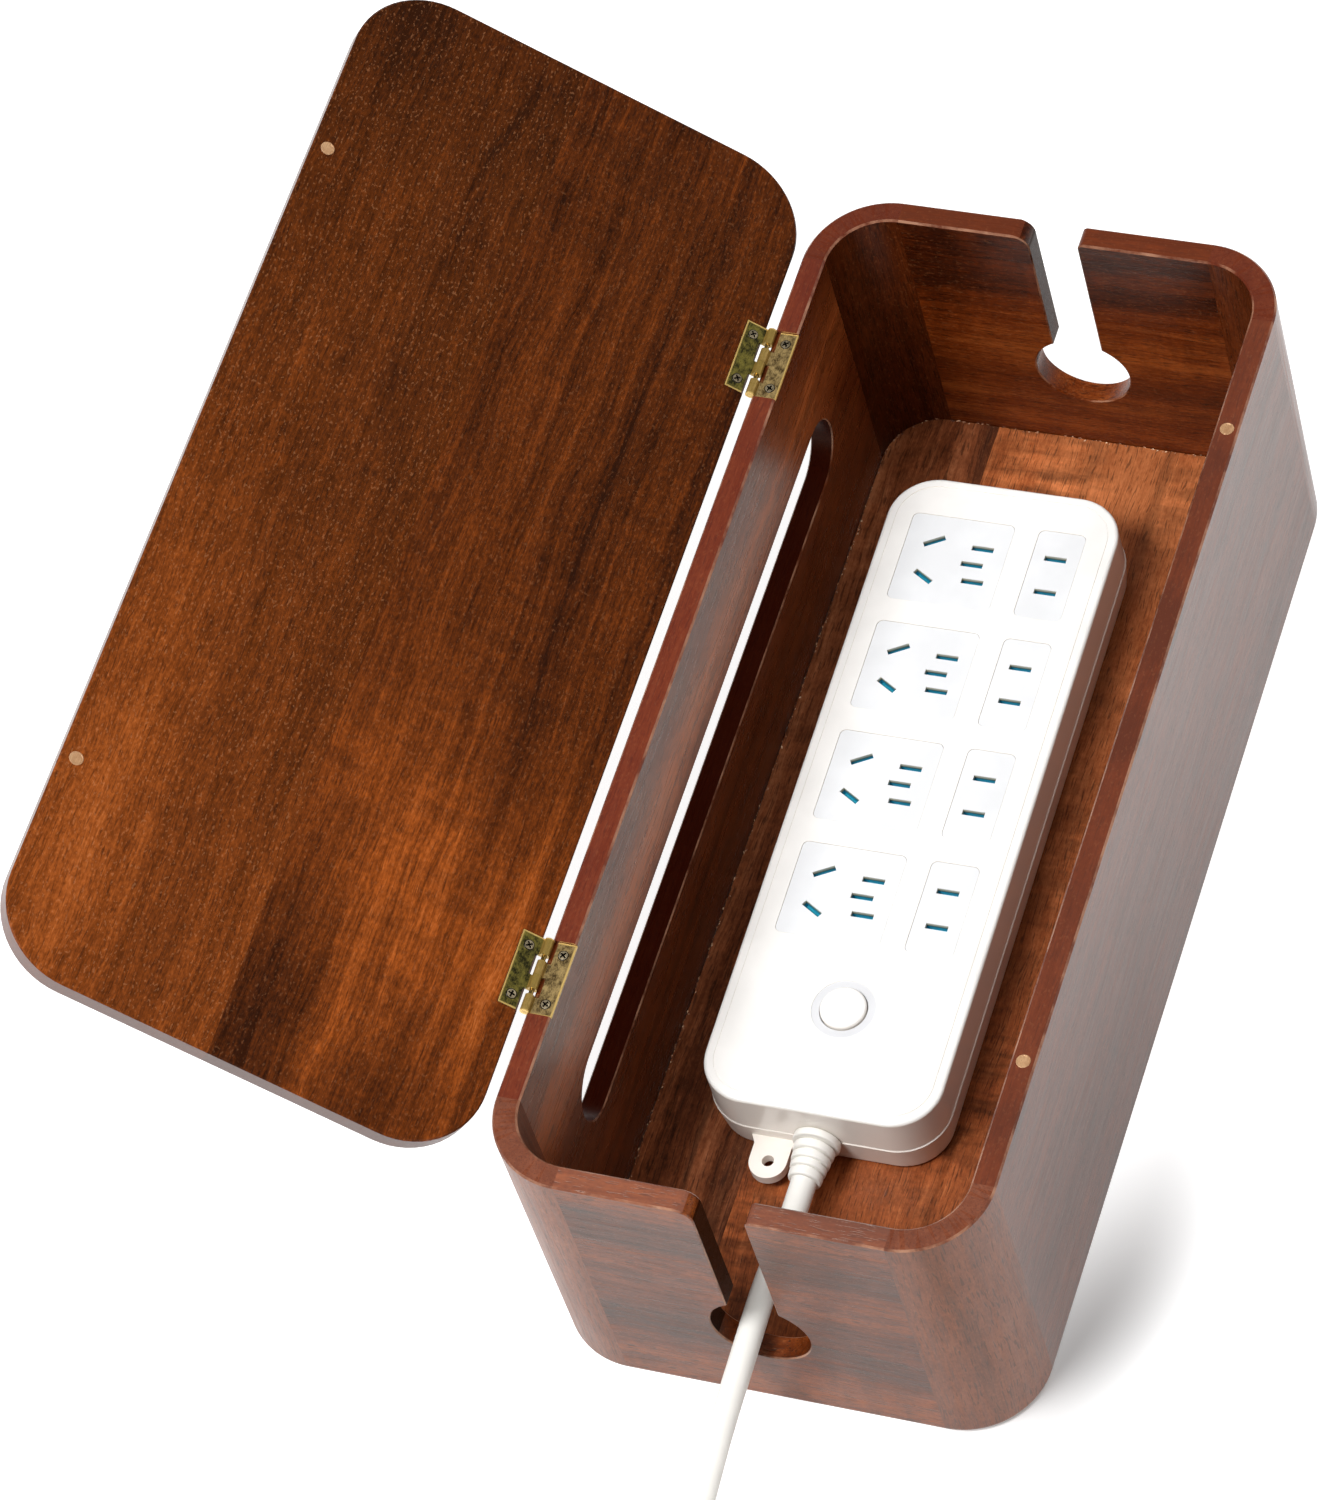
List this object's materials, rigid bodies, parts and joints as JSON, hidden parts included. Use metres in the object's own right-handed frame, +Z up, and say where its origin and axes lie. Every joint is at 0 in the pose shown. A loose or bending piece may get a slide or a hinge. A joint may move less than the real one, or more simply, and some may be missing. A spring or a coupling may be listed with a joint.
{
  "type": "cable management box",
  "caption": "Hinged wooden box that hides a power strip: round-cornered walls, keyhole cable openings, rear air slot and a swing-up lid with magnetic catch.",
  "frame": {"origin": "centre of the box's flat underside", "axes": "+X along the box from the cord end to the far end, +Y towards the hinged back wall, +Z up; the lid is modelled standing open"},
  "size_m": [0.5928, 0.3132, 0.1973],
  "materials": {
    "walnut_walls": "oiled, long brown and purple streaks",
    "walnut_posts": "oiled, upright grain, plain brown",
    "walnut_ends": "oiled, orange-brown with open pores",
    "walnut_floor_dark": "oiled, dark streaks",
    "walnut_floor_orange": "oiled, orange with a shimmer across the grain",
    "walnut_floor_red": "oiled, reddish brown",
    "walnut_lid_back": "oiled, reddish brown with dark pores",
    "walnut_lid_front": "oiled, greyish brown with dark streaks",
    "brass_bright": "worn bright on knuckles and edges",
    "brass_antique": "antique, olive to brown, brushed",
    "screw_steel": "bright cross-head with dark recess",
    "magnet_brass": "satin",
    "strip_white": "gloss white",
    "strip_base": "satin off-white",
    "plate_white": "satin, faintly grey",
    "carrier_teal": "matt teal",
    "bus_brass": "plain",
    "bezel_grey": "matt grey ring",
    "button_white": "gloss white",
    "spring_steel": "bright wire",
    "switch_black": "matt black",
    "cord_white": "satin off-white",
    "tie_black": "matt black",
    "plug_brass": "bright"
  },
  "bodies": {
    "box": {"back_wall": "walnut_walls", "bus_bar_earth": "bus_brass", "bus_bar_live": "bus_brass", "bus_bar_neutral": "bus_brass", "contact_carrier_slim": "carrier_teal", "contact_carrier_wide": "carrier_teal", "cord_coil": "cord_white", "cord_lead": "cord_white", "cord_tail": "cord_white", "cord_tie": "tie_black", "corner_post_far_back": "walnut_posts", "corner_post_far_front": "walnut_posts", "corner_post_near_back": "walnut_posts", "corner_post_near_front": "walnut_posts", "far_end_wall": "walnut_ends", "floor_board_back": "walnut_floor_dark", "floor_board_centre": "walnut_floor_orange", "floor_board_front": "walnut_floor_red", "floor_board_middle": "walnut_floor_orange", "front_wall": "walnut_walls", "hinge_box_leaf_far": "brass_antique", "hinge_box_leaf_near": "brass_antique", "hinge_box_screws": "screw_steel", "hinge_pin_far": "brass_bright", "hinge_pin_near": "brass_bright", "mains_plug": "cord_white", "near_end_wall": "walnut_ends", "plug_pins": "plug_brass", "rim_magnets": "magnet_brass", "socket_plate_slim_1": "plate_white", "socket_plate_slim_2": "plate_white", "socket_plate_slim_3": "plate_white", "socket_plate_slim_4": "plate_white", "socket_plate_wide_1": "plate_white", "socket_plate_wide_2": "plate_white", "socket_plate_wide_3": "plate_white", "socket_plate_wide_4": "plate_white", "strain_relief": "cord_white", "strip_case_screws": "screw_steel", "strip_lower_shell": "strip_base", "strip_upper_shell": "strip_white", "switch_bezel": "bezel_grey", "switch_body": "switch_black", "switch_spring": "spring_steel"},
    "lid": {"lid_board_back": "walnut_lid_back", "lid_board_front": "walnut_lid_front", "lid_magnets": "magnet_brass", "hinge_lid_leaf_near": "brass_antique", "hinge_lid_leaf_far": "brass_antique", "hinge_lid_screws": "screw_steel"},
    "switch_button": {"switch_button": "button_white"}
  },
  "joints": [
    {"name": "lid_hinge", "type": "hinge", "parent": "box", "child": "lid", "pos_m": [0, 0.0774, 0.11185], "axis": [1, 0, 0], "range_deg": [-50, 146.15]},
    {"name": "switch_press", "type": "slide", "parent": "box", "child": "switch_button", "axis": [0, 0, -1], "range_m": [0, 0.0022], "stiffness_N_per_m": 400, "springref_m": -0.001, "deforming": ["switch_spring"]}
  ]
}
